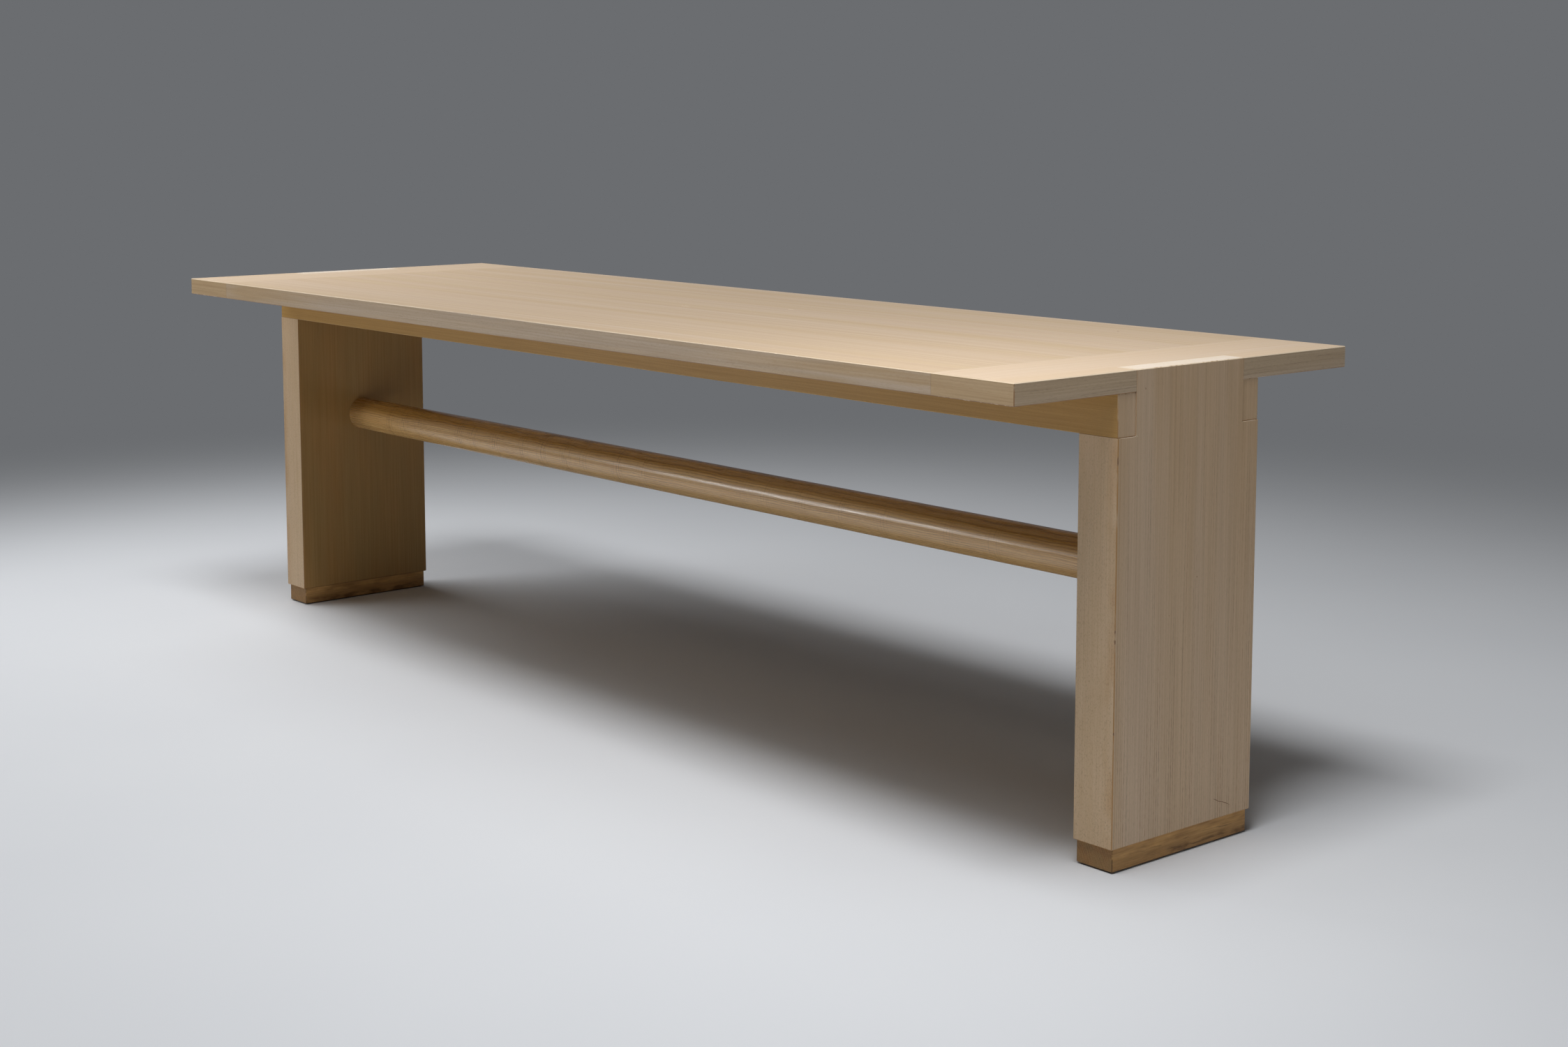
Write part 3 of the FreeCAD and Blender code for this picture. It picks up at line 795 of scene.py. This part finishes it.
closed = addNode(tree, "GeometryNodeMergeByDistance", {"Geometry": placed, "Distance": weld})
real = addNode(tree, "GeometryNodeRealizeInstances", {"Geometry": closed})
clad = addNode(tree, "GeometryNodeSetMaterial", {"Geometry": real, "Material": given["Finish"]})
addNode(tree, "NodeGroupOutput", {0: clad})

bar = runTree("stretcher.round", tree, {**sizes, "Finish": ashRound})
shape = bmesh.new()
shape.from_mesh(bar.data)
bmesh.ops.recalc_face_normals(shape, faces=shape.faces)
for face in shape.faces:
    face.smooth = True
shape.to_mesh(bar.data)
shape.free()
bar.data.set_sharp_from_angle(angle=math.radians(stretcher["sharp"]))
settle(bar, "lacquered_ash", "stretcher")
print("stretcher made:", len(bar.data.polygons), "faces")


# Screws: one turned blank with a cross recess, set out by a tree
def screwBlank(profile, recess):
    shape = bmesh.new()  # profile holds (radius, height) from the driven end up, in mm
    rim = [shape.verts.new((r * mm, 0, h * mm)) for r, h in profile]
    edges = [shape.edges.new(pair) for pair in zip(rim, rim[1:])]
    upright = {"cent": (0, 0, 0), "axis": (0, 0, 1)}
    bmesh.ops.spin(shape, geom=rim + edges, angle=2 * math.pi, steps=screws["sides"], **upright)
    bmesh.ops.remove_doubles(shape, verts=shape.verts, dist=weld)
    bmesh.ops.recalc_face_normals(shape, faces=shape.faces)
    blank = dress(shape, "screwBlank", {"rest": zincFinish})
    cross = bmesh.new()
    arm, slot = recess["long"] / 2, recess["wide"] / 2
    quarter = [(arm, -slot), (arm, slot), (slot, slot)]
    outline = []
    for turn in range(4):
        outline += quarter
        quarter = [(-b, a) for a, b in quarter]
    deep, taper = recess["deep"] * mm, screws["taper"]
    mouth = [cross.verts.new((a * mm, b * mm, -deep)) for a, b in outline]
    bottom = [cross.verts.new((taper * a * mm, taper * b * mm, deep)) for a, b in outline]
    for i in range(len(outline)):
        j = (i + 1) % len(outline)
        cross.faces.new((mouth[i], mouth[j], bottom[j], bottom[i]))
    cross.faces.new(mouth[::-1])
    cross.faces.new(bottom)
    carve(blank, cross, zincFinish)
    return blank


screws = {"sides": 24, "taper": 0.55, "turn": 3.14, "seed": 3}
screwTree = bpy.data.node_groups.new("screwRows", "GeometryNodeTree")
screwTree.interface.new_socket("Screws", in_out="OUTPUT", socket_type="NodeSocketGeometry")
sockets = {
    "Run": "Float", "Spread": "Float", "Along": "Int", "Across": "Int", "Middle": "Vector",
    "Turn Seed": "Int", "Screw": "Object", "Finish": "Material",
}
for key, kind in sockets.items():
    screwTree.interface.new_socket(key, in_out="INPUT", socket_type="NodeSocket" + kind)
given = addNode(screwTree, "NodeGroupInput").outputs
feeds = {"Size X": given["Run"], "Size Y": given["Spread"]}
feeds.update({"Vertices X": given["Along"], "Vertices Y": given["Across"]})
rows = addNode(screwTree, "GeometryNodeMeshGrid", feeds)
feeds = {"Geometry": rows, "Offset": given["Middle"]}
placed = addNode(screwTree, "GeometryNodeSetPosition", feeds)
source = addNode(screwTree, "GeometryNodeObjectInfo", {"Object": given["Screw"]})
feeds = {3: screws["turn"], "Seed": given["Turn Seed"]}
twist = addNode(screwTree, "FunctionNodeRandomValue", feeds, data_type="FLOAT")
spun = addNode(screwTree, "ShaderNodeCombineXYZ", {2: twist.outputs[1]})
feeds = {"Points": placed, "Instance": source.outputs["Geometry"], "Rotation": spun}
driven = addNode(screwTree, "GeometryNodeInstanceOnPoints", feeds)
real = addNode(screwTree, "GeometryNodeRealizeInstances", {"Geometry": driven})
feeds = {"Geometry": real, "Material": given["Finish"]}
clad = addNode(screwTree, "GeometryNodeSetMaterial", feeds)
addNode(screwTree, "NodeGroupOutput", {0: clad})

railScrew = {  # pan head
    "nodes": ("front_rail_screws", "rear_rail_screws"), "along": 5, "across": 1,
    "head": 5.0, "neck": 3.5, "shank": 2.5, "tip": 6,
    "crown": [(0, 0), (3.2, 0.15), (4.5, 0.9), (5.0, 2.0), (5.0, 3.5)],
    "recess": {"long": 5.6, "wide": 1.3, "deep": 1.9},
}
footScrew = {  # countersunk head
    "nodes": ("left_foot_screws", "right_foot_screws"), "along": 2, "across": 2,
    "head": 5.5, "neck": 4.0, "shank": 2.75, "tip": 6,
    "crown": [(0, 0), (5.5, 0), (5.5, 0.4)],
    "recess": {"long": 6.4, "wide": 1.4, "deep": 2.2},
}
for kind in (railScrew, footScrew):
    low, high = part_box(kind["nodes"][0])
    long = (high.z - low.z) / mm
    shank = kind["shank"]
    profile = kind["crown"] + [(shank, kind["neck"]), (shank, long - kind["tip"]), (0, long)]
    blank = screwBlank(profile, kind["recess"])
    for seed, name in enumerate(kind["nodes"], screws["seed"]):
        low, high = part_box(name)
        width = 2 * kind["head"] * mm
        words = name.split("_")
        row = runTree(words[0] + words[1].title() + "Screws", screwTree, {
            "Run": high.x - low.x - width,
            "Spread": high.y - low.y - width if kind["across"] > 1 else 0.0,
            "Along": kind["along"],
            "Across": kind["across"],
            "Middle": ((low.x + high.x) / 2, (low.y + high.y) / 2, low.z),
            "Turn Seed": seed,
            "Screw": blank,
            "Finish": zincFinish,
        })
        settle(row, "zinc_steel", name)
    bpy.data.objects.remove(blank)
print("screws made")

# Joints inside the table keep their CAD solids
for name in legSides:
    for kind in ("_cleat_tongue", "_rail_dowels", "_leg_dowels", "_tenon_wedge"):
        joint = nodes[name + kind]
        joint.data.materials.clear()
        joint.data.materials.append(beechRaw)
print("beech joints dressed")


def seenRays(tree):  # rays from the camera, or sent on by gloss or glass
    path = addNode(tree, "ShaderNodeLightPath")
    feeds = {0: path.outputs["Is Camera Ray"], 1: path.outputs["Is Glossy Ray"]}
    seen = addNode(tree, calc, feeds, operation="MAXIMUM")
    feeds = {0: seen, 1: path.outputs["Is Transmission Ray"]}
    return addNode(tree, calc, feeds, operation="MAXIMUM")


# Floor, pale near the table and fading into an even backdrop for the camera and for gloss
stage = {
    "reach": 60.0, "light": "#e5e8ec", "dark": "#dfe2e7", "cloud": 700, "backdrop": "#6b6d70",
    "fade": (1.9, 4.4),
}
fixed = {"Roughness": 0.8, "Specular IOR Level": 0.15}
floorFinish, tree, shader = startFinish("paleMattePaint", fixed)
place = addNode(tree, "ShaderNodeTexCoord")
feeds = {"Vector": place.outputs["Object"], "Scale": 1 / (stage["cloud"] * mm)}
cloud = addNode(tree, "ShaderNodeTexNoise", feeds)
feeds = {0: cloud, 6: linear(stage["light"]), 7: linear(stage["dark"])}
shade = addNode(tree, mix, feeds, data_type="RGBA")
tree.links.new(shade.outputs[2], shader.inputs["Base Color"])
away = addNode(tree, "ShaderNodeVectorMath", {0: place.outputs["Object"]}, operation="LENGTH")
feeds = {"Value": away.outputs["Value"], **between(stage["fade"])}
fade = addNode(tree, remap, feeds, interpolation_type="SMOOTHSTEP")
amount = addNode(tree, calc, {0: fade, 1: seenRays(tree)}, operation="MULTIPLY")
feeds = {"Color": linear(stage["backdrop"]), "Strength": 1.0}
even = addNode(tree, "ShaderNodeEmission", feeds)
blend = addNode(tree, "ShaderNodeMixShader", {0: amount, 1: shader, 2: even})
tree.links.new(blend.outputs[0], tree.nodes["Material Output"].inputs["Surface"])
shape = bmesh.new()
bmesh.ops.create_grid(shape, x_segments=1, y_segments=1, size=stage["reach"])
floorMesh = bpy.data.meshes.new("floor")
shape.to_mesh(floorMesh)
shape.free()
floorMesh.materials.append(floorFinish)
floor = bpy.data.objects.new("floor", floorMesh)
bpy.context.scene.collection.objects.link(floor)

# Studio light: a softbox high overhead, a small one over the near corner, one to the left and one
# low on the right, and a narrow strip in front for the gleam on the stretcher
lights = {
    "overhead": {"at": (1.27, -1.39, 5.0), "aim": (1.0, -0.3, 0.6), "size": (2.0, 1.4), "watts": 153},
    "corner": {"at": (1.2, -0.5, 1.47), "aim": (1.02, -0.3, 0.6), "size": (0.9, 0.7), "watts": 4.8},
    "left": {"at": (-2.0, -0.45, 2.1), "aim": (-0.6, 0, 0.6), "size": (1.6, 1.2), "watts": 27},
    "right": {"at": (5.0, 0.0, 1.2), "aim": (1.0, 0, 0.5), "size": (1.2, 1.0), "watts": 12.3},
    "strip": {"at": (-2.32, -2.6, 0.88), "aim": (0.2, 0, 0.43), "size": (1.0, 0.4), "watts": 12},
}
fill = {"colour": "#f4f6fa", "strength": 0.015}
for name, lamp in lights.items():
    data = bpy.data.lights.new(name + "Softbox", "AREA")
    data.shape = "RECTANGLE"
    data.size, data.size_y = lamp["size"]
    data.energy = lamp["watts"]
    box = bpy.data.objects.new(name + "Softbox", data)
    box.location = lamp["at"]
    toAim = Vector(lamp["aim"]) - Vector(lamp["at"])
    box.rotation_euler = toAim.to_track_quat("-Z", "Y").to_euler()
    box.visible_camera = False
    box.visible_glossy = name != "left"  # one gleam on the stretcher is enough
    bpy.context.scene.collection.objects.link(box)
world = bpy.data.worlds.new("studioFill")
world.use_nodes = True
tree = world.node_tree
seen = seenRays(tree)
feeds = {"Color": linear(fill["colour"]), "Strength": fill["strength"]}
ambient = addNode(tree, "ShaderNodeBackground", feeds)
feeds = {"Color": linear(stage["backdrop"]), "Strength": 1.0}
even = addNode(tree, "ShaderNodeBackground", feeds)
blend = addNode(tree, "ShaderNodeMixShader", {0: seen, 1: ambient, 2: even})
tree.links.new(blend.outputs[0], tree.nodes["World Output"].inputs["Surface"])
bpy.context.scene.world = world
bpy.context.scene.view_settings.view_transform = "Standard"

# Camera, at the photograph's angle: lens and sensor in mm, place in m, angles in degrees
shot = {
    "lens": 53.01, "sensor": 36, "at": (3.4062, -2.6334, 1.1203), "yaw": 49.596, "pitch": -6.535,
    "shift": -0.1001,
}
lens = bpy.data.cameras.new("camera")
lens.sensor_fit = "HORIZONTAL"
lens.sensor_width = shot["sensor"]
lens.lens = shot["lens"]
lens.shift_y = shot["shift"]
camera = bpy.data.objects.new("camera", lens)
camera.location = shot["at"]
camera.rotation_euler = (math.radians(90 + shot["pitch"]), 0, math.radians(shot["yaw"]))
bpy.context.scene.collection.objects.link(camera)
bpy.context.scene.camera = camera
print("floor, light and camera set")
